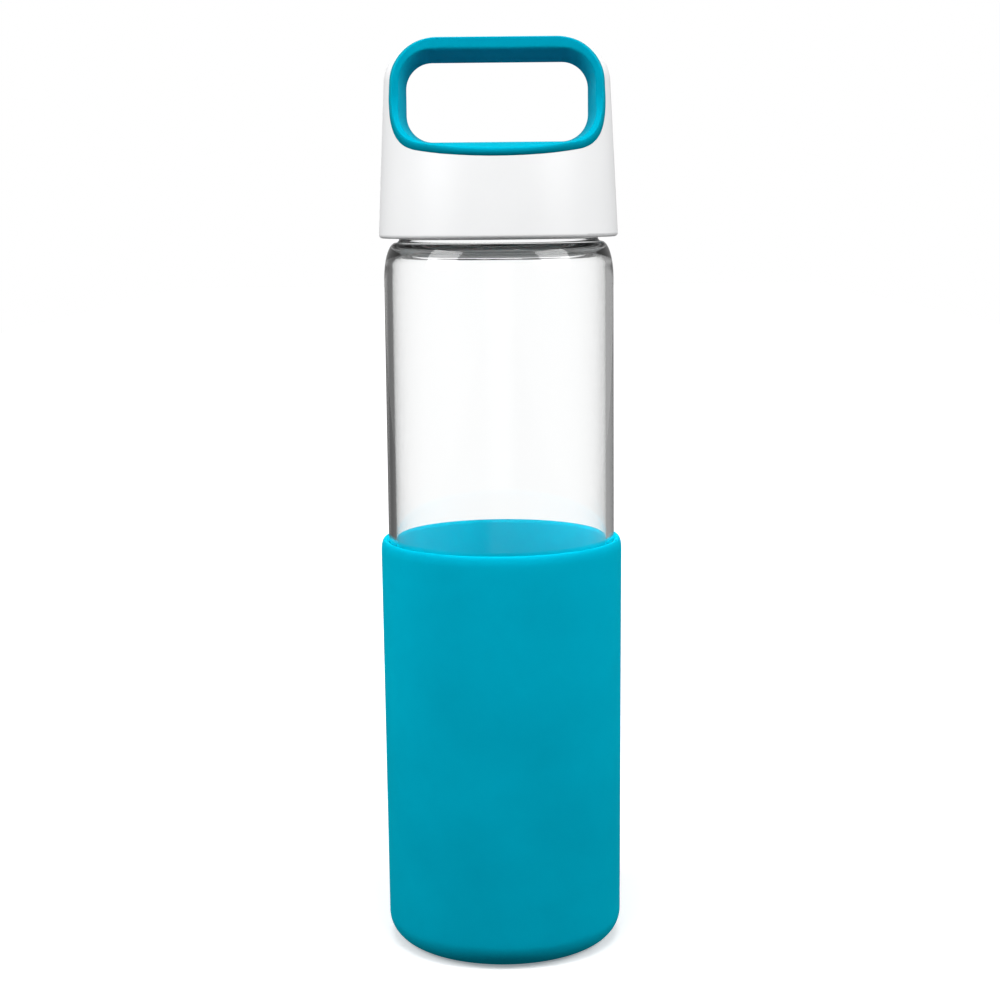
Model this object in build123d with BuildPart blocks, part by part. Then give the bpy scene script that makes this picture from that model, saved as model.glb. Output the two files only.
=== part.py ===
"""Glass water bottle with a silicone sleeve and a screw lid that carries a loop handle.

Frame: millimetres, +Z up, origin at the centre of the sleeve's foot on the table.
The loop handle lies in the XZ plane, so the finger window runs through the lid along Y.
Each sub-part is its own solid, written to parts/ under the name of its node.
"""
from build123d import *
from math import cos, radians, sin, tan
import os

# ---- driving dimensions -------------------------------------------------------------------
overall_height = 261.3       # foot to the top of the loop handle

# silicone sleeve
sleeve_rim_radius = 35.0     # outside, just under the rim
sleeve_foot_radius = 34.4    # outside, at the top of the foot's rounded corner
sleeve_corner = 7.5          # rounded corner between wall and foot
sleeve_height = 119.9        # top of the rim, before its edge is rounded
rim_round_height = 3.3       # the rim's outer face curves in over this height
rim_crest_inset = 0.95       # from the outer face to the rim's crest
rim_lip_drop = 1.1           # from the crest down to the glass
rim_edge_round = 0.3
sleeve_floor = 2.6           # thickness of the floor under the glass
foot_recess_radius = 20.0
foot_recess_depth = 0.8

# glass
glass_radius = 32.8
glass_wall = 2.2
glass_corner = 6.0           # outside corner at the bottom
glass_floor = 4.6            # thickness of the bottom over the resting ring
punt_height = 2.2            # how far the underside is pushed up at its centre
punt_radius = 22.8           # the push-up fades out at this radius
shoulder_start = 194.7       # where the straight wall ends
neck_start = 205.1           # where the shoulder meets the neck
neck_radius = 28.4
neck_wall = 2.8
neck_thickening = 1.2        # the inside of the shoulder stops this far under the outside
hollow_start = 197.9         # where the inside's straight wall ends
mouth_height = 222.75        # top of the fire-polished mouth

# screw thread between the neck and the lid
thread_lead = 5.0            # rise in one turn, single start, right-handed
thread_turns = 1.5
thread_height = 1.3          # how far a ridge stands out of its wall
ridge_root_width = 2.4
ridge_crest_width = 1.0
neck_thread_start = 210.3    # height of the neck ridge's lower end
flank_offset = 2.1           # the lid's ridge runs this far under the neck's
thread_root_bite = 0.5       # how far a ridge is sunk into its wall

# lid shell
lid_bottom = 206.4
skirt_radius = 34.1          # outside, at the bottom of the skirt
lid_draft = 2.82             # degrees each side
skirt_edge_round = 1.0
shell_bore_radius = 31.4
shell_bore_top = 226.2
crown_bore_radius = 22.0     # the shallower pocket under the deck
crown_bore_top = 228.8
handle_corner = 12.0         # rounded upper corners of the loop, seen from the front

# loop handle, seen from the side
core_half_depth = 11.5       # the white core of the loop
scoop_radius = 16.3          # concave sweep from the loop down to the deck
scoop_centre_y = core_half_depth + scoop_radius
scoop_centre_z = 246.2
deck_slope = 12.0            # degrees, falling outwards to the skirt's edge
white_top_drop = 0.2         # the core's top lies just under the grip's top

# finger window
window_half_width = 25.6     # at the waist, half way through the loop
window_floor = 233.15
window_ceiling = 255.1
window_corner = 7.4
window_flare = 7.1           # degrees, sides
ceiling_flare = 11.5         # degrees, ceiling
floor_flare = 2.17           # degrees, floor
window_reach = 27.0          # the flared cut's ends, in front of and behind the waist

# soft grip moulded over the loop's faces, the deck and the window's walls
grip_thickness = 2.1
grip_half_width = 29.9       # at the start of its rounded upper corners
grip_corner = 12.2
lining_thickness = 2.3       # floor and sides of the window, at the waist
ceiling_lining = 3.0         # ceiling of the window, at the waist

# threaded insert and seal
insert_gap = 0.1             # insert to shell, all round
insert_radius = shell_bore_radius - insert_gap
insert_bottom = 207.2
insert_wall_inner = 30.1
insert_roof = 1.7
lid_ridge_height = 1.25
plug_rib_outer = 24.8
plug_rib_thickness = 1.3
plug_rib_depth = 4.2
plug_lead_in = (0.5, 0.8)    # chamfer at the rib's lower edge, across and up
key_count = 12               # ribs in the roof that stop the insert turning in the shell
key_size = (3.0, 1.4)        # along the radius and across it
key_inset = 2.2              # a rib's middle to the pocket's wall
key_clearance = 0.5          # over a rib's top
seal_thickness = 1.5
seal_edge_round = 0.4
seal_outer = 29.2
seal_side_gap = 0.12
seal_face_gap = 0.05

# running gaps
sleeve_gap = 0.12            # sleeve bore to glass
rest_gap = 0.05              # glass bottom to the sleeve's floor
fit_gap = 0.05               # grip to the shell

reach = 45.0                 # longer than any half-width of the object

# ---- sizes that follow from them ----------------------------------------------------------
sleeve_bore = glass_radius + sleeve_gap
glass_bottom = sleeve_floor + rest_gap
mouth_radius = neck_radius - neck_wall
insert_top = shell_bore_top - insert_gap
insert_ceiling = insert_top - insert_roof
seal_top = insert_ceiling - seal_face_gap
deck_sin = sin(radians(deck_slope))
deck_cos = cos(radians(deck_slope))


def skirt_radius_at(height):
    """Outside radius of the lid's cone at a height."""
    return skirt_radius - (height - lid_bottom) * tan(radians(lid_draft))


def lid_cone(top):
    """The lid's outer cone, up to a height."""
    with BuildSketch(Plane.XZ) as section:
        with BuildLine():
            Polyline(
                (0, lid_bottom),
                (skirt_radius, lid_bottom),
                (skirt_radius_at(top), top),
                (0, top),
                close=True,
            )
        make_face()
    revolve(section.sketch, axis=Axis.Z)


def keep_arch(half_width, corner, top):
    """Keeps what lies under an arch seen from the front, with rounded upper corners.

    Below the corners the arch's sides lean out as the lid's cone does.
    """
    foot = lid_bottom - 1
    foot_half_width = half_width + (top - corner - foot) * tan(radians(lid_draft))
    with BuildSketch(Plane.XZ) as arch:
        with BuildLine():
            Line((-foot_half_width, foot), (-half_width, top - corner))
            RadiusArc((-half_width, top - corner), (-half_width + corner, top), corner)
            Line((-half_width + corner, top), (half_width - corner, top))
            RadiusArc((half_width - corner, top), (half_width, top - corner), corner)
            Line((half_width, top - corner), (foot_half_width, foot))
            Line((foot_half_width, foot), (-foot_half_width, foot))
        make_face()
    extrude(arch.sketch, amount=reach, both=True, mode=Mode.INTERSECT)


def side_profile(offset):
    """The lid seen from the side: loop, concave scoop and sloping deck, grown by offset."""
    radius = scoop_radius - offset
    half = core_half_depth + offset
    tangent = (scoop_centre_y - radius * deck_sin, scoop_centre_z - radius * deck_cos)
    middle_angle = radians((180 + 270 - deck_slope) / 2)
    middle = (
        scoop_centre_y + radius * cos(middle_angle),
        scoop_centre_z + radius * sin(middle_angle),
    )
    deck_end = (reach, tangent[1] - (reach - tangent[0]) * tan(radians(deck_slope)))
    top = overall_height + 1
    bottom = lid_bottom - 1
    with BuildSketch(Plane.YZ) as profile:
        with BuildLine():
            Line((0, bottom), (reach, bottom))
            Line((reach, bottom), deck_end)
            Line(deck_end, tangent)
            ThreePointArc(tangent, middle, (half, scoop_centre_z))
            Line((half, scoop_centre_z), (half, top))
            Line((half, top), (0, top))
            mirror(about=Plane.YZ)
        make_face()
    return profile.sketch


def window_sketch(depth, grow_side, grow_top, grow_bottom, corner):
    """The finger window's outline on a plane at a depth in front of the waist."""
    low = window_floor - grow_bottom
    high = window_ceiling + grow_top
    with BuildSketch(Plane.XZ.offset(depth)) as outline:
        with Locations((0, (low + high) / 2)):
            RectangleRounded(2 * (window_half_width + grow_side), high - low, corner)
    return outline.sketch


def ridge_path(start_height, radius):
    """One thread ridge's helix, climbing anticlockwise."""
    with BuildLine() as path:
        Helix(thread_lead, thread_lead * thread_turns, radius, center=(0, 0, start_height))
    return path.wires()[0]


def ridge_section(path, radial_direction, height):
    """The trapezoid section of a ridge at the start of its helix."""
    plane = Plane(origin=path @ 0, x_dir=(radial_direction, 0, 0), z_dir=path % 0)
    flank = (ridge_root_width - ridge_crest_width) / (2 * height)
    sunk_half_width = ridge_root_width / 2 + flank * thread_root_bite
    with BuildSketch(plane) as section:
        with BuildLine():
            Polyline(
                (-thread_root_bite, -sunk_half_width),
                (height, -ridge_crest_width / 2),
                (height, ridge_crest_width / 2),
                (-thread_root_bite, sunk_half_width),
                close=True,
            )
        make_face()
    return section.sketch


# ---- silicone_sleeve: a closed boot that the bottle stands in -----------------------------
rim_round_radius = (rim_round_height**2 + rim_crest_inset**2) / (2 * rim_crest_inset)
rim_crest_radius = sleeve_rim_radius - rim_crest_inset
with BuildPart() as silicone_sleeve:
    with BuildSketch(Plane.XZ):
        with BuildLine():
            rim_start = (sleeve_rim_radius, sleeve_height - rim_round_height)
            rim_crest = (rim_crest_radius, sleeve_height)
            Polyline(
                (0, foot_recess_depth),
                (foot_recess_radius, foot_recess_depth),
                (foot_recess_radius + foot_recess_depth, 0),
                (sleeve_foot_radius - sleeve_corner, 0),
            )
            RadiusArc(
                (sleeve_foot_radius - sleeve_corner, 0),
                (sleeve_foot_radius, sleeve_corner),
                -sleeve_corner,
            )
            Line((sleeve_foot_radius, sleeve_corner), rim_start)
            RadiusArc(rim_start, rim_crest, -rim_round_radius)
            Polyline(
                rim_crest,
                (sleeve_bore, sleeve_height - rim_lip_drop),
                (sleeve_bore, sleeve_floor + glass_corner),
            )
            RadiusArc(
                (sleeve_bore, sleeve_floor + glass_corner),
                (sleeve_bore - glass_corner, sleeve_floor),
                glass_corner,
            )
            Polyline(
                (sleeve_bore - glass_corner, sleeve_floor), (0, sleeve_floor), (0, foot_recess_depth)
            )
        make_face()
    revolve(axis=Axis.Z)
    rim_edges = silicone_sleeve.edges().filter_by(GeomType.CIRCLE).group_by(Axis.Z)[-1]
    fillet(rim_edges, rim_edge_round)
silicone_sleeve.part.label = "silicone_sleeve"

# ---- glass_bottle: blown body, elliptical shoulder, threaded neck -------------------------
inner_radius = glass_radius - glass_wall
inner_floor = glass_bottom + glass_floor
shoulder_rise = neck_start - shoulder_start
hollow_rise = neck_start - neck_thickening - hollow_start
lip_radius = neck_wall / 2
resting_ring = glass_radius - glass_corner
with BuildPart() as glass_bottle:
    with BuildSketch(Plane.XZ):
        with BuildLine():
            punt_edge = (punt_radius, glass_bottom)
            dome_radius = (punt_radius**2 + punt_height**2) / (2 * punt_height)
            RadiusArc((0, glass_bottom + punt_height), punt_edge, dome_radius)
            Line(punt_edge, (resting_ring, glass_bottom))
            RadiusArc(
                (resting_ring, glass_bottom), (glass_radius, glass_bottom + glass_corner), -glass_corner
            )
            Line((glass_radius, glass_bottom + glass_corner), (glass_radius, shoulder_start))
            EllipticalCenterArc(
                (neck_radius, shoulder_start),
                glass_radius - neck_radius,
                shoulder_rise,
                start_angle=0,
                arc_size=90,
            )
            Line((neck_radius, neck_start), (neck_radius, mouth_height - lip_radius))
            ThreePointArc(
                (neck_radius, mouth_height - lip_radius),
                (neck_radius - lip_radius, mouth_height),
                (mouth_radius, mouth_height - lip_radius),
            )
            Line((mouth_radius, mouth_height - lip_radius), (mouth_radius, neck_start - neck_thickening))
            EllipticalCenterArc(
                (mouth_radius, hollow_start),
                inner_radius - mouth_radius,
                hollow_rise,
                start_angle=0,
                arc_size=90,
            )
            Line((inner_radius, hollow_start), (inner_radius, inner_floor + glass_corner))
            RadiusArc(
                (inner_radius, inner_floor + glass_corner),
                (inner_radius - glass_corner, inner_floor),
                glass_corner,
            )
            Line((inner_radius - glass_corner, inner_floor), (0, inner_floor))
            Line((0, inner_floor), (0, glass_bottom + punt_height))
        make_face()
    revolve(axis=Axis.Z)
    neck_helix = ridge_path(neck_thread_start, neck_radius)
    sweep(ridge_section(neck_helix, 1, thread_height), path=neck_helix, is_frenet=True)
glass_bottle.part.label = "glass_bottle"

# ---- seal_ring: flat silicone ring over the mouth -----------------------------------------
seal_inner = plug_rib_outer + seal_side_gap
with BuildPart() as seal_ring:
    with BuildSketch(Plane.XZ):
        with Locations(((seal_inner + seal_outer) / 2, seal_top - seal_thickness / 2)):
            RectangleRounded(seal_outer - seal_inner, seal_thickness, seal_edge_round)
    revolve(axis=Axis.Z)
seal_ring.part.label = "seal_ring"

# ---- thread_insert: inner cap with the female thread --------------------------------------
lid_thread_start = neck_thread_start - flank_offset
plug_rib_bottom = insert_ceiling - plug_rib_depth
with BuildPart() as thread_insert:
    with BuildSketch(Plane.XZ):
        with BuildLine():
            Polyline(
                (0, insert_ceiling),
                (plug_rib_outer - plug_rib_thickness, insert_ceiling),
                (plug_rib_outer - plug_rib_thickness, plug_rib_bottom),
                (plug_rib_outer - plug_lead_in[0], plug_rib_bottom),
                (plug_rib_outer, plug_rib_bottom + plug_lead_in[1]),
                (plug_rib_outer, insert_ceiling),
                (insert_wall_inner, insert_ceiling),
                (insert_wall_inner, insert_bottom),
                (insert_radius, insert_bottom),
                (insert_radius, insert_top),
                (0, insert_top),
                close=True,
            )
        make_face()
    revolve(axis=Axis.Z)
    lid_helix = ridge_path(lid_thread_start, insert_wall_inner)
    sweep(ridge_section(lid_helix, -1, lid_ridge_height), path=lid_helix, is_frenet=True)
    with BuildSketch(Plane.XY.offset(insert_top)):
        with PolarLocations(crown_bore_radius - key_inset, key_count):
            Rectangle(*key_size)
    extrude(amount=crown_bore_top - insert_top - key_clearance)
thread_insert.part.label = "thread_insert"

# ---- lid_shell: white skirt, deck and loop core -------------------------------------------
with BuildPart() as lid_shell:
    white_top = overall_height - white_top_drop
    lid_cone(white_top)
    fillet(lid_shell.edges().filter_by(GeomType.CIRCLE).sort_by(Axis.Z)[0], skirt_edge_round)
    fillet(lid_shell.edges().filter_by(GeomType.CIRCLE).sort_by(Axis.Z)[-1], handle_corner)
    extrude(side_profile(0), amount=reach, both=True, mode=Mode.INTERSECT)
    core_window = window_sketch(
        0, lining_thickness, ceiling_lining, lining_thickness, window_corner + lining_thickness
    )
    extrude(core_window, amount=reach, both=True, mode=Mode.SUBTRACT)
    with BuildSketch(Plane.XZ) as bores:
        with BuildLine():
            Polyline(
                (0, lid_bottom - 1),
                (shell_bore_radius, lid_bottom - 1),
                (shell_bore_radius, shell_bore_top),
                (crown_bore_radius, shell_bore_top),
                (crown_bore_radius, crown_bore_top),
                (0, crown_bore_top),
                close=True,
            )
        make_face()
    revolve(bores.sketch, axis=Axis.Z, mode=Mode.SUBTRACT)
lid_shell.part.label = "lid_shell"

# ---- handle_grip: soft skin over the loop's faces and the deck, and through the window ----
with BuildPart() as grip_seat:
    extrude(side_profile(fit_gap), amount=reach, both=True)
    lining = lining_thickness - fit_gap
    seat_window = window_sketch(0, lining, ceiling_lining - fit_gap, lining, window_corner + lining)
    extrude(seat_window, amount=reach, both=True, mode=Mode.SUBTRACT)

with BuildPart() as window_cut:
    waist = window_sketch(0, 0, 0, 0, window_corner)
    side_growth = window_reach * tan(radians(window_flare))
    for depth in (window_reach, -window_reach):
        mouth = window_sketch(
            depth,
            side_growth,
            window_reach * tan(radians(ceiling_flare)),
            window_reach * tan(radians(floor_flare)),
            window_corner + side_growth,
        )
        loft([waist, mouth], ruled=True)

with BuildPart() as handle_grip:
    lid_cone(overall_height)
    keep_arch(grip_half_width, grip_corner, overall_height)
    extrude(side_profile(grip_thickness), amount=reach, both=True, mode=Mode.INTERSECT)
    add(grip_seat.part, mode=Mode.SUBTRACT)
    add(window_cut.part, mode=Mode.SUBTRACT)
handle_grip.part.label = "handle_grip"

# ---- write one STEP per sub-part ----------------------------------------------------------
os.makedirs("parts", exist_ok=True)
for piece in (
    silicone_sleeve,
    glass_bottle,
    seal_ring,
    thread_insert,
    lid_shell,
    handle_grip,
):
    export_step(piece.part, f"parts/{piece.part.label}.step")
    print(piece.part.label, round(piece.part.volume), len(piece.part.solids()))
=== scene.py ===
"""Looks of a glass water bottle: clear glass body, silicone sleeve, white screw lid with a soft loop grip.

All lengths below are in millimetres along the frame's axes, and each mesh is written in metres.
The loop handle stands in the XZ plane and its finger window opens along Y.
"""
import math

import bpy
import numpy as np
from mathutils import Euler, Matrix, Vector


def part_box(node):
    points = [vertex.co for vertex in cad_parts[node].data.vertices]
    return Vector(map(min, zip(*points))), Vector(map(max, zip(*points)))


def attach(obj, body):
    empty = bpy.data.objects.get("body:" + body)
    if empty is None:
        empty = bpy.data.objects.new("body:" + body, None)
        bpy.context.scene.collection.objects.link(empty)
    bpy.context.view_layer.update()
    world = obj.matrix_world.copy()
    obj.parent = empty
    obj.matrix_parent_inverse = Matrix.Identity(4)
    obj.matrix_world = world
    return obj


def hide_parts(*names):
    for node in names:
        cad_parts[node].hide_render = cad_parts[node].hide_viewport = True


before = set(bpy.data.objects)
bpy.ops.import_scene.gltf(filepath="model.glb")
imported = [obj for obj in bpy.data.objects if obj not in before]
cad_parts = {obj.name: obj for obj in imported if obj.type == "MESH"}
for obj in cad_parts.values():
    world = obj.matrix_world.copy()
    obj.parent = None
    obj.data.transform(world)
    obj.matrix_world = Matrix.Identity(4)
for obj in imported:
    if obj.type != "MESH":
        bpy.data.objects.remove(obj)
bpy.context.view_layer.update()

MM = 0.001


def box_mm(node):
    """A node's lowest and highest corners, in millimetres."""
    low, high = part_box(node)
    return np.array(low) / MM, np.array(high) / MM


# ---- sizes read from the frame --------------------------------------------------------------
_, sleeve_high = box_mm("silicone_sleeve")
glass_low, glass_high = box_mm("glass_bottle")
shell_low, _ = box_mm("lid_shell")
_, grip_high = box_mm("handle_grip")

SLEEVE_RADIUS = sleeve_high[0]
SLEEVE_TOP = sleeve_high[2]
GLASS_RADIUS = glass_high[0]
GLASS_BOTTOM = glass_low[2]
GLASS_TOP = glass_high[2]
LID_BOTTOM = shell_low[2]
GRIP_TOP = grip_high[2]

# ---- sizes of the rounds, walls and slopes --------------------------------------------------
# A flare or a draft is a slope: the tangent of its angle.
SLEEVE_FOOT_RADIUS = 34.4
SLEEVE_CORNER = 7.5
SLEEVE_FLOOR = 2.6
RECESS_RADIUS = 20.4
RECESS_DEPTH = 0.8
RIM_ROUND_HEIGHT = 3.3
RIM_CREST_INSET = 0.95
RIM_LIP_DROP = 1.1
SLEEVE_FIT_GAP = 0.12
SLEEVE_BORE = GLASS_RADIUS + SLEEVE_FIT_GAP
GLASS_WALL = 2.2
GLASS_CORNER = 6.0
GLASS_FLOOR = 4.6
SHOULDER_START = 194.7
NECK_START = 205.1
NECK_RADIUS = 28.4
NECK_WALL = 2.8
NECK_THICKENING = 1.2
NECK_FILLET = 1.0
HOLLOW_START = 197.9
PUNT_RADIUS = 22.0
PUNT_HEIGHT = 2.2
THREAD_START = 210.3
THREAD_LEAD = 5.0
THREAD_TURNS = 1.5
THREAD_HEIGHT = 1.28
THREAD_HALF_WIDTH = 1.25
THREAD_FLANK = 0.95
THREAD_RUN_OUT = 0.07
SKIRT_RADIUS = 34.1
LID_DRAFT = math.tan(math.radians(2.82))
HANDLE_CORNER = 11.8
CORE_HALF_DEPTH = 11.5
SCOOP_RADIUS = 16.3
SCOOP_Y = CORE_HALF_DEPTH + SCOOP_RADIUS
SCOOP_Z = 246.2
DECK_SLOPE = math.radians(12.0)
GRIP_THICKNESS = 2.1
LINING_THICKNESS = 2.3
CEILING_LINING = 3.0
JOINT_GAP = 0.05
OUTER_EDGE_ROUND = 0.55
WINDOW_EDGE_ROUND = 1.9
WAIST_ROUND = 0.7
WINDOW_HALF_WIDTH = 25.6
WINDOW_FLOOR = 233.15
WINDOW_CEILING = 255.1
WINDOW_CORNER = 7.4
SIDE_FLARE = math.tan(math.radians(7.1))
CEILING_FLARE = math.tan(math.radians(11.5))
FLOOR_FLARE = math.tan(math.radians(2.17))
WINDOW_MIDDLE = (WINDOW_FLOOR + WINDOW_CEILING) / 2

# ---- fineness of the grids ------------------------------------------------------------------
ROUND_COLUMNS = 192
GRIP_COLUMNS = 512
FACE_SHARES = np.array([0.12, 0.2, 0.3, 0.4, 0.5, 0.6, 0.68])
WALL_SHARES = np.array([0.84, 0.78, 0.7, 0.6, 0.5, 0.4, 0.3, 0.2, 0.12, 0.06])
WELD_DISTANCE = 0.001
HALVINGS = 40
SEARCH_START = 3.0
FACE_SEARCH_END = 50.0
WALL_SEARCH_END = 60.0


# ---- mesh helpers ---------------------------------------------------------------------------
def line(start, end, count):
    """Points on the straight line between two profile points, without the last."""
    share = np.linspace(0, 1, count, endpoint=False)[:, None]
    return (1 - share) * np.array(start, float) + share * np.array(end, float)


def arc(centre, radii, start, end, count):
    """Points on an ellipse's arc: centre + (a cos t, b sin t), t in degrees, without the last."""
    angle = np.radians(np.linspace(start, end, count, endpoint=False))
    return np.stack([centre[0] + radii[0] * np.cos(angle), centre[1] + radii[1] * np.sin(angle)], axis=1)


def quads(rows, columns, wrap_rows=False, wrap_columns=False):
    """Corner numbers of the faces of a rows x columns grid of points, as whole arrays."""
    row = np.arange(rows if wrap_rows else rows - 1)
    column = np.arange(columns if wrap_columns else columns - 1)
    row, column = np.meshgrid(row, column, indexing="ij")
    next_row = (row + 1) % rows
    next_column = (column + 1) % columns
    corners = [row * columns + column, row * columns + next_column]
    corners += [next_row * columns + next_column, next_row * columns + column]
    return np.stack(corners, axis=-1).reshape(-1, 4)


def welded(points, faces):
    """Merges points that lie within a micrometre of each other, and renumbers the faces' corners."""
    grid = np.round(points / WELD_DISTANCE)
    _, first, place = np.unique(grid, axis=0, return_index=True, return_inverse=True)
    return points[first], place.reshape(-1)[faces]


def make_piece(name, points, faces, body, material, slot, *replaced):
    """Writes points in millimetres and four-cornered faces to a smooth mesh that rides on a body.

    A face with two corners in one place becomes a triangle, and a thinner one is left out.
    """
    distinct = [np.array(list(dict.fromkeys(face))) for face in faces.tolist()]
    distinct = [face.tolist() for face in distinct if len(face) > 2]
    mesh = bpy.data.meshes.new(name)
    mesh.from_pydata((points * MM).tolist(), [], distinct)
    mesh.validate()
    mesh.polygons.foreach_set("use_smooth", np.ones(len(mesh.polygons), dtype=bool))
    mesh.materials.append(material)
    piece = bpy.data.objects.new(name, mesh)
    bpy.context.scene.collection.objects.link(piece)
    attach(piece, body)
    if replaced:
        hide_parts(*replaced)
    return piece


def revolved(profile, columns, bump=None):
    """Carries a profile of (radius, height) round Z: x = r cos a, y = r sin a, z = h.

    bump(angle, radius, height) is added to the radius where it is given.
    """
    angle = np.linspace(0, 2 * math.pi, columns, endpoint=False)
    radius, height = profile[:, 0, None], profile[:, 1, None]
    if bump is not None:
        radius = radius + bump(angle[None, :], radius, height)
    x = radius * np.cos(angle)
    y = radius * np.sin(angle)
    z = np.broadcast_to(height, x.shape)
    points = np.stack([x, y, z], axis=-1).reshape(-1, 3)
    return points, quads(len(profile), columns, wrap_columns=True)


def smooth_step(value):
    """0 below 0, 1 above 1, and 3v^2 - 2v^3 between."""
    value = np.clip(value, 0, 1)
    return value * value * (3 - 2 * value)


# ---- materials ------------------------------------------------------------------------------
# Heights are in metres. A noise scale is in cells a metre.
SILICONE_WAVE_HEIGHT = 0.00012
PLASTIC_GRAIN_HEIGHT = 0.000012
PLASTIC_FLOW_HEIGHT = 0.00008
GLASS_RIPPLE_HEIGHT = 0.00006
PAPER_FIBRE_HEIGHT = 0.00005
SHEEN_PALENESS = 0.4


class Finish:
    """A material's node tree, with short names for the nodes that the finishes share."""

    def __init__(self, name):
        self.material = bpy.data.materials.new(name)
        self.material.use_nodes = True
        self.nodes = self.material.node_tree.nodes
        self.links = self.material.node_tree.links
        self.shader = self.nodes["Principled BSDF"]
        self.coordinates = self.nodes.new("ShaderNodeTexCoord").outputs["Object"]

    def noise(self, scale, detail=2.0, stretch=(1, 1, 1)):
        """A noise value on the piece's own coordinates."""
        mapping = self.nodes.new("ShaderNodeMapping")
        mapping.inputs["Scale"].default_value = stretch
        texture = self.nodes.new("ShaderNodeTexNoise")
        texture.inputs["Scale"].default_value = scale
        texture.inputs["Detail"].default_value = detail
        self.links.new(self.coordinates, mapping.inputs["Vector"])
        self.links.new(mapping.outputs["Vector"], texture.inputs["Vector"])
        return texture.outputs["Fac"]

    def spread(self, value, low, high):
        """The value's middle range stretched to run from low to high."""
        node = self.nodes.new("ShaderNodeMapRange")
        node.inputs["From Min"].default_value = 0.3
        node.inputs["From Max"].default_value = 0.7
        node.inputs["To Min"].default_value = low
        node.inputs["To Max"].default_value = high
        self.links.new(value, node.inputs["Value"])
        return node.outputs["Result"]

    def colour(self, value, dark, light):
        """A colour between dark and light, chosen by the value."""
        node = self.nodes.new("ShaderNodeMix")
        node.data_type = "RGBA"
        node.inputs["A"].default_value = (*dark, 1)
        node.inputs["B"].default_value = (*light, 1)
        self.links.new(value, node.inputs["Factor"])
        self.links.new(node.outputs["Result"], self.shader.inputs["Base Color"])

    def roughness(self, value, low, high):
        """A roughness that wanders between low and high with the value."""
        self.links.new(self.spread(value, low, high), self.shader.inputs["Roughness"])

    def bump(self, layers):
        """Stacks bump layers of (value, height in metres)."""
        normal = None
        for value, height in layers:
            node = self.nodes.new("ShaderNodeBump")
            node.inputs["Strength"].default_value = 1.0
            node.inputs["Distance"].default_value = height
            self.links.new(value, node.inputs["Height"])
            if normal is not None:
                self.links.new(normal, node.inputs["Normal"])
            normal = node.outputs["Normal"]
        self.links.new(normal, self.shader.inputs["Normal"])

    def let_lamps_through(self, tint):
        """Rays on their way to a lamp pass straight through, so that what stands inside is lit."""
        path = self.nodes.new("ShaderNodeLightPath")
        clear = self.nodes.new("ShaderNodeBsdfTransparent")
        clear.inputs["Color"].default_value = (*tint, 1)
        mix = self.nodes.new("ShaderNodeMixShader")
        self.links.new(path.outputs["Is Shadow Ray"], mix.inputs["Fac"])
        self.links.new(self.shader.outputs["BSDF"], mix.inputs[1])
        self.links.new(clear.outputs["BSDF"], mix.inputs[2])
        self.links.new(mix.outputs["Shader"], self.nodes["Material Output"].inputs["Surface"])

    def set(self, **values):
        """Sets the shader's own sockets; an underscore stands for a space."""
        for name, value in values.items():
            self.shader.inputs[name.replace("_", " ")].default_value = value


def silicone(name, dark, light, roughness, grain_height):
    """Matte moulded silicone: fine dusty grain, faint clouding and a soft sheen of its own colour.

    The low index of refraction stands for the dust, which keeps glancing reflections down.
    """
    finish = Finish(name)
    clouds = finish.spread(finish.noise(38, 3), 0.0, 1.0)
    finish.colour(clouds, dark, light)
    finish.roughness(finish.noise(260, 4), *roughness)
    grain = finish.noise(2600, 2)
    waves = finish.noise(90, 2)
    finish.bump([(grain, grain_height), (waves, SILICONE_WAVE_HEIGHT)])
    pale = tuple(value**SHEEN_PALENESS for value in light)
    finish.set(IOR=1.12, Specular_IOR_Level=0.04)
    finish.set(Sheen_Weight=0.2, Sheen_Roughness=0.4, Sheen_Tint=(*pale, 1))
    finish.set(Subsurface_Weight=0.25, Subsurface_Scale=0.003, Subsurface_Radius=(0.15, 1.0, 1.0))
    return finish.material


def moulded_plastic(name, dark, light, roughness):
    """Satin injection-moulded plastic: very fine spark grain and slow flow marks."""
    finish = Finish(name)
    finish.colour(finish.spread(finish.noise(30, 2), 0, 1), dark, light)
    finish.roughness(finish.noise(420, 3), *roughness)
    grain = finish.noise(3200, 2)
    flow = finish.noise(55, 1)
    finish.bump([(grain, PLASTIC_GRAIN_HEIGHT), (flow, PLASTIC_FLOW_HEIGHT)])
    finish.set(IOR=1.49, Specular_IOR_Level=0.45)
    return finish.material


def clear_glass(name):
    """Polished borosilicate: clear, with the faint long ripples of a blown wall."""
    finish = Finish(name)
    finish.colour(finish.spread(finish.noise(12, 1), 0, 1), (0.985, 0.99, 0.99), (0.995, 0.997, 0.997))
    finish.roughness(finish.noise(30, 2), 0.0, 0.012)
    ripples = finish.noise(26, 1, stretch=(1, 1, 0.18))
    finish.bump([(ripples, GLASS_RIPPLE_HEIGHT)])
    finish.set(IOR=1.47, Transmission_Weight=1.0)
    finish.let_lamps_through((0.97, 0.98, 0.98))
    return finish.material


sleeve_silicone = silicone("sleeve_silicone", (0, 0.37, 0.53), (0, 0.405, 0.575), (0.46, 0.6), 0.00003)
# The grip is the sleeve's teal made darker: painted shade that keeps the grip, which stands nearer the
# lamps, from looking brighter than the sleeve.
grip_silicone_painted_shade = silicone("grip_silicone_painted_shade", (0, 0.265, 0.38), (0, 0.29, 0.41), (0.38, 0.5), 0.00002)
seal_silicone = silicone("seal_silicone", (0.74, 0.76, 0.76), (0.82, 0.84, 0.84), (0.3, 0.45), 0.00001)
lid_plastic = moulded_plastic("lid_plastic", (0.73, 0.735, 0.74), (0.76, 0.765, 0.77), (0.34, 0.44))
insert_plastic = moulded_plastic("insert_plastic", (0.76, 0.775, 0.78), (0.81, 0.825, 0.83), (0.3, 0.4))
glass = clear_glass("clear_glass")


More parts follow.
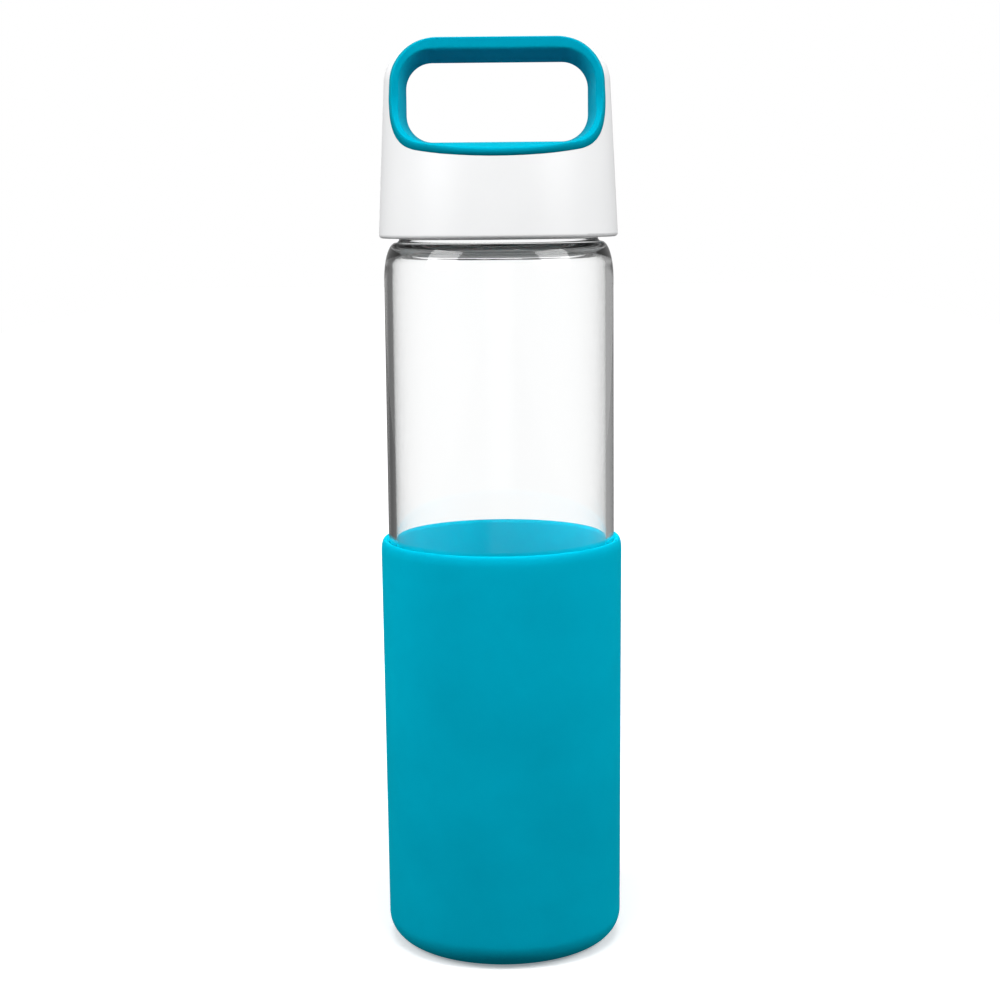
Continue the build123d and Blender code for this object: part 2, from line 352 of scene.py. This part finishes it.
# ---- silicone sleeve ------------------------------------------------------------------------
def sleeve_profile():
    """Foot recess, rounded corner, tapered wall, rim with a crest, bore and floor, from axis to axis."""
    foot = SLEEVE_FOOT_RADIUS - SLEEVE_CORNER
    step = RECESS_DEPTH / 2
    crest = SLEEVE_RADIUS - RIM_CREST_INSET
    roll_start = SLEEVE_TOP - RIM_ROUND_HEIGHT
    lip = SLEEVE_TOP - RIM_LIP_DROP
    bore_corner = SLEEVE_FLOOR + GLASS_CORNER
    return np.concatenate(
        [
            line((0, RECESS_DEPTH), (RECESS_RADIUS - step, RECESS_DEPTH), 8),
            arc((RECESS_RADIUS - step, step), (step, step), 90, 0, 5),
            arc((RECESS_RADIUS + step, step), (step, step), 180, 270, 5),
            line((RECESS_RADIUS + step, 0), (foot, 0), 4),
            arc((foot, SLEEVE_CORNER), (SLEEVE_CORNER, SLEEVE_CORNER), -90, 0, 18),
            line((SLEEVE_FOOT_RADIUS, SLEEVE_CORNER), (SLEEVE_RADIUS, roll_start), 60),
            arc((crest, roll_start), (RIM_CREST_INSET, RIM_ROUND_HEIGHT), 0, 90, 18),
            arc((crest, lip), (crest - SLEEVE_BORE, RIM_LIP_DROP), 90, 180, 12),
            line((SLEEVE_BORE, lip), (SLEEVE_BORE, bore_corner), 30),
            arc((SLEEVE_BORE - GLASS_CORNER, bore_corner), (GLASS_CORNER, GLASS_CORNER), 0, -90, 10),
            line((SLEEVE_BORE - GLASS_CORNER, SLEEVE_FLOOR), (0, SLEEVE_FLOOR), 6),
            [(0, SLEEVE_FLOOR)],
        ]
    )


make_piece(
    "sleeve_skin",
    *welded(*revolved(sleeve_profile(), ROUND_COLUMNS)),
    "sleeve",
    sleeve_silicone,
    "sleeve_silicone",
    "silicone_sleeve",
)


# ---- glass ----------------------------------------------------------------------------------
def thread_ridge(angle, height, start):
    """How far a helical ridge stands out at an angle and height, from 0 to 1.

    The ridge's middle is at start + lead * turns. It falls from 1 to 0 over its flank's width, and its
    ends fade out over the run-out, which is a share of a turn.
    """
    total = np.zeros(np.broadcast(angle, height).shape)
    for lap in (0, 1):
        turns = angle / (2 * math.pi) + lap
        away = np.abs(height - (start + THREAD_LEAD * turns))
        flank = smooth_step((THREAD_HALF_WIDTH - away) / THREAD_FLANK)
        begin = smooth_step(turns / THREAD_RUN_OUT)
        end = smooth_step((THREAD_TURNS - turns) / THREAD_RUN_OUT)
        total = np.maximum(total, flank * begin * end)
    return total


def dome(radius, reach, height):
    """A smooth swelling: h (1 + cos(pi r / reach)) / 2."""
    return height * (0.5 + 0.5 * np.cos(math.pi * radius / reach))


def glass_profile():
    """Pushed-up base, wall, shoulder, neck, rounded mouth and the inside back to the axis."""
    ring = GLASS_RADIUS - GLASS_CORNER
    inner = GLASS_RADIUS - GLASS_WALL
    mouth = NECK_RADIUS - NECK_WALL
    floor = GLASS_BOTTOM + GLASS_FLOOR
    lip = NECK_WALL / 2
    foot = GLASS_RADIUS - NECK_RADIUS - NECK_FILLET
    neck_foot = NECK_RADIUS + NECK_FILLET
    hollow_top = NECK_START - NECK_THICKENING
    under = np.linspace(0, PUNT_RADIUS, 14, endpoint=False)
    inside = np.linspace(inner - GLASS_CORNER, 0, 16)
    inside_height = floor + dome(inside, inner - GLASS_CORNER, PUNT_HEIGHT / 2)
    return np.concatenate(
        [
            np.stack([under, GLASS_BOTTOM + dome(under, PUNT_RADIUS, PUNT_HEIGHT)], axis=1),
            line((PUNT_RADIUS, GLASS_BOTTOM), (ring, GLASS_BOTTOM), 4),
            arc((ring, GLASS_BOTTOM + GLASS_CORNER), (GLASS_CORNER, GLASS_CORNER), -90, 0, 14),
            line((GLASS_RADIUS, GLASS_BOTTOM + GLASS_CORNER), (GLASS_RADIUS, SHOULDER_START), 60),
            arc((neck_foot, SHOULDER_START), (foot, NECK_START - SHOULDER_START), 0, 90, 24),
            arc((neck_foot, NECK_START + NECK_FILLET), (NECK_FILLET, NECK_FILLET), 270, 180, 8),
            line((NECK_RADIUS, NECK_START + NECK_FILLET), (NECK_RADIUS, GLASS_TOP - lip), 70),
            arc((NECK_RADIUS - lip, GLASS_TOP - lip), (lip, lip), 0, 180, 16),
            line((mouth, GLASS_TOP - lip), (mouth, hollow_top), 12),
            arc((mouth, HOLLOW_START), (inner - mouth, hollow_top - HOLLOW_START), 90, 0, 20),
            line((inner, HOLLOW_START), (inner, floor + GLASS_CORNER), 60),
            arc((inner - GLASS_CORNER, floor + GLASS_CORNER), (GLASS_CORNER, GLASS_CORNER), 0, -90, 12),
            np.stack([inside, inside_height], axis=1),
        ]
    )


def neck_thread(angle, radius, height):
    """The ridge stands out of the neck's outside wall only."""
    on_wall = np.abs(radius - NECK_RADIUS) < WELD_DISTANCE
    on_neck = on_wall & (height > NECK_START)
    return np.where(on_neck, THREAD_HEIGHT * thread_ridge(angle, height, THREAD_START), 0)


make_piece(
    "glass_body",
    *welded(*revolved(glass_profile(), ROUND_COLUMNS, neck_thread)),
    "bottle",
    glass,
    "clear_glass",
    "glass_bottle",
)


# ---- the lid's outline ----------------------------------------------------------------------
def cone_radius(height):
    """Outside radius of the lid's cone at a height."""
    return SKIRT_RADIUS - (height - LID_BOTTOM) * LID_DRAFT


def half_depth(height, offset):
    """|y| of the loop's face, scoop and deck at a height, grown outwards by offset.

    Upright face above the scoop's centre, a circle's arc below it, then the straight deck.
    """
    radius = SCOOP_RADIUS - offset
    tangent_z = SCOOP_Z - radius * math.cos(DECK_SLOPE)
    tangent_y = SCOOP_Y - radius * math.sin(DECK_SLOPE)
    drop = np.clip(SCOOP_Z - height, 0, SCOOP_Z - tangent_z)
    scoop = SCOOP_Y - np.sqrt(radius**2 - drop**2)
    deck = tangent_y + (tangent_z - height) / math.tan(DECK_SLOPE)
    return np.where(height < tangent_z, deck, scoop)


def half_width(height, depth, top):
    """Largest |x| inside the lid: the cone's slice, less the rounded corner under the top.

    The corner takes c (1 - cos a) off the slice, where sin a is how far the height is up the corner.
    """
    climb = np.clip((height - top + HANDLE_CORNER) / HANDLE_CORNER, 0, 1)
    square = cone_radius(height) ** 2 - depth**2
    slice_width = np.copysign(np.sqrt(np.abs(square)), square)
    return slice_width - HANDLE_CORNER * (1 - np.sqrt(1 - climb**2))


def window_gap(x, height, depth, growth, ceiling_growth):
    """Distance outside the finger window's rounded rectangle at a depth, negative inside it."""
    low = WINDOW_FLOOR - depth * FLOOR_FLARE - growth
    high = WINDOW_CEILING + depth * CEILING_FLARE + ceiling_growth
    corner = WINDOW_CORNER + depth * SIDE_FLARE + growth
    reach_x = np.abs(x) - (WINDOW_HALF_WIDTH + depth * SIDE_FLARE + growth) + corner
    reach_z = np.abs(height - (low + high) / 2) - (high - low) / 2 + corner
    outside = np.hypot(np.maximum(reach_x, 0), np.maximum(reach_z, 0))
    return outside + np.minimum(np.maximum(reach_x, reach_z), 0) - corner


def crossing(test, near, far):
    """Where test(distance) turns from negative to positive, by halving the span again and again."""
    for _ in range(HALVINGS):
        middle = (near + far) / 2
        beyond = test(middle) > 0
        near, far = np.where(beyond, near, middle), np.where(beyond, middle, far)
    return (near + far) / 2


def around_window(angle, distance, depth):
    """Points at an angle and distance from the window's middle axis, depth in front of it."""
    x = distance * np.cos(angle)
    z = WINDOW_MIDDLE + distance * np.sin(angle)
    return np.stack([x, -np.broadcast_to(depth, x.shape), z], axis=-1)


def outline(angle, offset, top):
    """Distance to the lid's outer edge along each direction on the face at an offset."""

    def outside(distance):
        x = distance * np.cos(angle)
        z = WINDOW_MIDDLE + distance * np.sin(angle)
        width = half_width(z, half_depth(z, offset), top)
        return np.maximum(np.abs(x) - width, z - top)

    return crossing(outside, np.full_like(angle, SEARCH_START), np.full_like(angle, FACE_SEARCH_END))


def window_edge(angle, offset):
    """Distance to the flared window's edge on the face at an offset."""

    def outside(distance):
        x = distance * np.cos(angle)
        z = WINDOW_MIDDLE + distance * np.sin(angle)
        return window_gap(x, z, half_depth(z, offset), 0, 0)

    return crossing(outside, np.full_like(angle, SEARCH_START), np.full_like(angle, FACE_SEARCH_END))


def window_wall(angle, depth, growth=0.0, ceiling_growth=0.0):
    """Distance to the window's wall at a fixed depth."""

    def outside(distance):
        x = distance * np.cos(angle)
        z = WINDOW_MIDDLE + distance * np.sin(angle)
        return window_gap(x, z, depth, growth, ceiling_growth)

    return crossing(outside, np.full_like(angle, SEARCH_START), np.full_like(angle, WALL_SEARCH_END))


def on_face(angle, distance, offset):
    """Points of the face at an offset, from direction and distance."""
    z = WINDOW_MIDDLE + distance * np.sin(angle)
    return around_window(angle, distance, half_depth(z, offset))


def mirrored(points):
    """The same points on the far side of the loop."""
    return points * np.array([1, -1, 1])


def rounded(before, corner, after, size, count):
    """Rows that round a corner: C + d((1-s)^2 a + s^2 b), a and b unit vectors to its neighbours.

    The reach d is the size, or 0.8 of the way to the nearer neighbour if that is less.
    """
    back = before - corner
    ahead = after - corner
    back_length = np.linalg.norm(back, axis=-1, keepdims=True)
    ahead_length = np.linalg.norm(ahead, axis=-1, keepdims=True)
    reach = np.minimum(size, 0.8 * np.minimum(back_length, ahead_length))
    share = np.linspace(0, 1, count)[:, None, None]
    return corner + reach * ((1 - share) ** 2 * back / back_length + share**2 * ahead / ahead_length)


# ---- soft grip ------------------------------------------------------------------------------
def grip_rows():
    """The grip's closed section at each direction round the window.

    Face from the outer edge to the window, wall to the waist, the same behind, and back underneath.
    """
    angle = np.linspace(0, 2 * math.pi, GRIP_COLUMNS, endpoint=False)
    outer = outline(angle, GRIP_THICKNESS, GRIP_TOP)
    inner = window_edge(angle, GRIP_THICKNESS)
    under = outline(angle, JOINT_GAP, GRIP_TOP)
    seat = window_wall(angle, 0.0, LINING_THICKNESS - JOINT_GAP, CEILING_LINING - JOINT_GAP)
    edge = on_face(angle, outer, GRIP_THICKNESS)
    lip = on_face(angle, inner, GRIP_THICKNESS)
    rim = on_face(angle, under, JOINT_GAP)
    waist = around_window(angle, window_wall(angle, 0.0), 0.0)
    seat_front = on_face(angle, seat, JOINT_GAP)

    face = [on_face(angle, outer + (inner - outer) * share, GRIP_THICKNESS) for share in FACE_SHARES]
    lip_depth = -lip[:, 1]
    wall = [around_window(angle, window_wall(angle, lip_depth * s), lip_depth * s) for s in WALL_SHARES]
    underside = [on_face(angle, seat + (under - seat) * share, JOINT_GAP) for share in FACE_SHARES]
    front = [
        *rounded(rim, edge, face[0], OUTER_EDGE_ROUND, 6),
        *face,
        *rounded(face[-1], lip, wall[0], WINDOW_EDGE_ROUND, 13),
        *wall,
    ]
    waist_rows = list(rounded(wall[-1], waist, mirrored(wall[-1]), WAIST_ROUND, 7))
    back = [mirrored(row) for row in reversed(front)]
    hidden = [mirrored(rim), *[mirrored(row) for row in reversed(underside)], mirrored(seat_front)]
    hidden += [seat_front, *underside, rim]
    return np.stack(front + waist_rows + back + hidden)


rows = grip_rows()
grip_points = rows.reshape(-1, 3)
grip_faces = quads(len(rows), GRIP_COLUMNS, wrap_rows=True, wrap_columns=True)
make_piece(
    "grip_skin",
    *welded(grip_points, grip_faces),
    "lid",
    grip_silicone_painted_shade,
    "grip_soft_plastic",
    "handle_grip",
)

# ---- carried-over nodes ---------------------------------------------------------------------
for node, material in (
    ("lid_shell", lid_plastic),
    ("thread_insert", insert_plastic),
    ("seal_ring", seal_silicone),
):
    for material_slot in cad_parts[node].material_slots:
        material_slot.material = material


# ---- floor, light and camera ----------------------------------------------------------------
def fade(tree, value, near, far, low, high):
    """A smooth change from low to high as the value runs from near to far."""
    node = tree.nodes.new("ShaderNodeMapRange")
    node.interpolation_type = "SMOOTHSTEP"
    node.inputs["From Min"].default_value = near
    node.inputs["From Max"].default_value = far
    node.inputs["To Min"].default_value = low
    node.inputs["To Max"].default_value = high
    tree.links.new(value, node.inputs["Value"])
    return node.outputs["Result"]


def path_test(tree, output, limit=0.5):
    """1 where an output of the light's path is over the limit, else 0."""
    path = tree.nodes.new("ShaderNodeLightPath")
    test = tree.nodes.new("ShaderNodeMath")
    test.operation = "GREATER_THAN"
    test.inputs[1].default_value = limit
    tree.links.new(path.outputs[output], test.inputs[0])
    return test.outputs["Value"]


def choice(tree, test, when_false, when_true):
    """One of two values, each a number or a node's output."""
    node = tree.nodes.new("ShaderNodeMix")
    tree.links.new(test, node.inputs["Factor"])
    for name, value in (("A", when_false), ("B", when_true)):
        if isinstance(value, float):
            node.inputs[name].default_value = value
        else:
            tree.links.new(value, node.inputs[name])
    return node.outputs["Result"]


def seen_directly(tree):
    """1 for what is seen with nothing between, or through clear glass without a reflection, else 0."""
    through_glass = choice(tree, path_test(tree, "Is Transmission Ray"), 0.0, 1.0)
    direct = choice(tree, path_test(tree, "Is Camera Ray"), through_glass, 1.0)
    return choice(tree, path_test(tree, "Glossy Depth"), direct, 0.0)


def glass_edge_light(tree, away):
    """How bright the room is that the glass wall mirrors from inside, by the direction of a vector.

    The steps go by the direction's x: white straight on, dark at the left and mid grey at the right.
    """
    unit = tree.nodes.new("ShaderNodeVectorMath")
    unit.operation = "NORMALIZE"
    tree.links.new(away, unit.inputs[0])
    split = tree.nodes.new("ShaderNodeSeparateXYZ")
    tree.links.new(unit.outputs["Vector"], split.inputs["Vector"])
    place = tree.nodes.new("ShaderNodeMapRange")
    place.inputs["From Min"].default_value = -1.0
    tree.links.new(split.outputs["X"], place.inputs["Value"])
    ramp = tree.nodes.new("ShaderNodeValToRGB")
    stops = ramp.color_ramp.elements
    while len(stops) < len(EDGE_STEPS):
        stops.new(1.0)
    for stop, (across, brightness) in zip(list(stops), EDGE_STEPS):
        stop.position = (across + 1) / 2
        stop.color = (brightness, brightness, brightness, 1)
    tree.links.new(place.outputs["Result"], ramp.inputs["Fac"])
    return ramp.outputs["Color"]


def floor_finish():
    """Pale matte paper with a trace of fibre, lit through from below away from the bottle.

    It throws little light back up. Through the glass and in its edges it carries on the room's light.
    """
    finish = Finish("floor_paper")
    finish.colour(finish.spread(finish.noise(6, 3), 0, 1), (0.88, 0.88, 0.885), (0.91, 0.91, 0.915))
    finish.bump([(finish.noise(400, 3), PAPER_FIBRE_HEIGHT)])
    finish.set(Roughness=0.9, Specular_IOR_Level=0.1, Emission_Color=(1, 1, 1, 1))
    tree = finish.material.node_tree
    away = tree.nodes.new("ShaderNodeVectorMath")
    away.operation = "LENGTH"
    tree.links.new(finish.coordinates, away.inputs[0])
    glow = fade(tree, away.outputs["Value"], *GLOW_REACH, *GLOW_STRENGTH)
    tree.links.new(glow, finish.shader.inputs["Emission Strength"])
    edge_light = glass_edge_light(tree, finish.coordinates)
    mirrored = choice(tree, path_test(tree, "Transmission Depth"), FLOOR_LIGHT, edge_light)
    unseen = choice(tree, path_test(tree, "Glossy Depth"), FLOOR_LIGHT, mirrored)
    strength = choice(tree, seen_directly(tree), unseen, GLASS_BACKLIGHT)
    indirect = tree.nodes.new("ShaderNodeEmission")
    tree.links.new(strength, indirect.inputs["Strength"])
    mix = tree.nodes.new("ShaderNodeMixShader")
    tree.links.new(path_test(tree, "Is Camera Ray"), mix.inputs["Fac"])
    tree.links.new(indirect.outputs["Emission"], mix.inputs[1])
    tree.links.new(finish.shader.outputs["BSDF"], mix.inputs[2])
    tree.links.new(mix.outputs["Shader"], finish.nodes["Material Output"].inputs["Surface"])
    return finish.material


def floor_sheet():
    """A flat sheet, longer than wide, whose points lie at z = 0."""
    columns, rows = 7, 13
    x, y = np.meshgrid(np.linspace(-0.9, 0.9, columns), np.linspace(-3.0, 5.0, rows))
    points = np.stack([x, y, np.zeros_like(x)], axis=-1).reshape(-1, 3)
    mesh = bpy.data.meshes.new("floor")
    mesh.from_pydata(points.tolist(), [], quads(rows, columns).tolist())
    mesh.materials.append(floor_finish())
    sheet = bpy.data.objects.new("floor", mesh)
    bpy.context.scene.collection.objects.link(sheet)
    return sheet


# How bright the room is for soft light, for reflections off surfaces, and for what is seen through
# the glass; the floor's share of the first two; and where the floor's glow grows, in metres.
ROOM_LIGHT = 0.34
ROOM_REFLECTION = 0.35
GLASS_BACKLIGHT = 1.12
FLOOR_LIGHT = 0.12
GLOW_REACH = (0.05, 0.45)
GLOW_STRENGTH = (0.25, 0.9)
# The light in the glass's edges: (x of its direction, brightness).
EDGE_STEPS = (
    (-1.0, 0.35),
    (-0.6, 0.15),
    (-0.4, 0.09),
    (-0.28, 0.15),
    (-0.16, 0.5),
    (0.0, 0.5),
    (0.12, 0.5),
    (0.3, 0.4),
    (0.6, 0.4),
    (1.0, 0.45),
)
floor_sheet()


def soft_light(name, location, target, size, power):
    """A square soft box that faces a target."""
    data = bpy.data.lights.new(name, "AREA")
    data.size = size
    data.energy = power
    lamp = bpy.data.objects.new(name, data)
    direction = Vector(target) - Vector(location)
    lamp.rotation_euler = direction.to_track_quat("-Z", "Y").to_euler()
    lamp.location = location
    bpy.context.scene.collection.objects.link(lamp)


BOTTLE_MIDDLE = (0, 0, 0.13)
soft_light("key", (-0.42, -0.24, 0.42), BOTTLE_MIDDLE, size=0.3, power=2.3)
soft_light("fill", (0.42, -0.24, 0.42), BOTTLE_MIDDLE, size=0.3, power=2.2)
soft_light("top", (0, -0.2, 0.75), BOTTLE_MIDDLE, size=0.4, power=3.0)


def studio_world():
    """A white room round the bottle, seen directly and through the glass.

    It lights softly, and what the glass wall mirrors from inside draws the glass's edges.
    """
    world = bpy.data.worlds.new("studio")
    world.use_nodes = True
    tree = world.node_tree
    direction = tree.nodes.new("ShaderNodeTexCoord").outputs["Generated"]
    inside_wall = glass_edge_light(tree, direction)
    mirrored_room = choice(tree, path_test(tree, "Transmission Depth"), ROOM_REFLECTION, inside_wall)
    unseen = choice(tree, path_test(tree, "Glossy Depth"), ROOM_LIGHT, mirrored_room)
    white = choice(tree, path_test(tree, "Is Transmission Ray"), 1.0, GLASS_BACKLIGHT)
    strength = choice(tree, seen_directly(tree), unseen, white)
    tree.nodes["Background"].inputs["Color"].default_value = (1, 1, 1, 1)
    tree.links.new(strength, tree.nodes["Background"].inputs["Strength"])
    return world


bpy.context.scene.world = studio_world()

CAMERA_PLACE = (-0.0003, -0.5669, 0.2142)
CAMERA_LOOKS_DOWN = math.radians(8.401)
CAMERA_ROLL = -0.0098
camera_data = bpy.data.cameras.new("camera")
camera_data.lens = 70.82
camera_data.sensor_width = 36
camera = bpy.data.objects.new("camera", camera_data)
tilt = Euler((math.radians(90) - CAMERA_LOOKS_DOWN, 0, 0)).to_matrix()
roll = Matrix.Rotation(CAMERA_ROLL, 3, "Z")
camera.matrix_world = Matrix.Translation(CAMERA_PLACE) @ (tilt @ roll).to_4x4()
bpy.context.scene.collection.objects.link(camera)
bpy.context.scene.camera = camera
bpy.context.scene.view_settings.view_transform = "Standard"
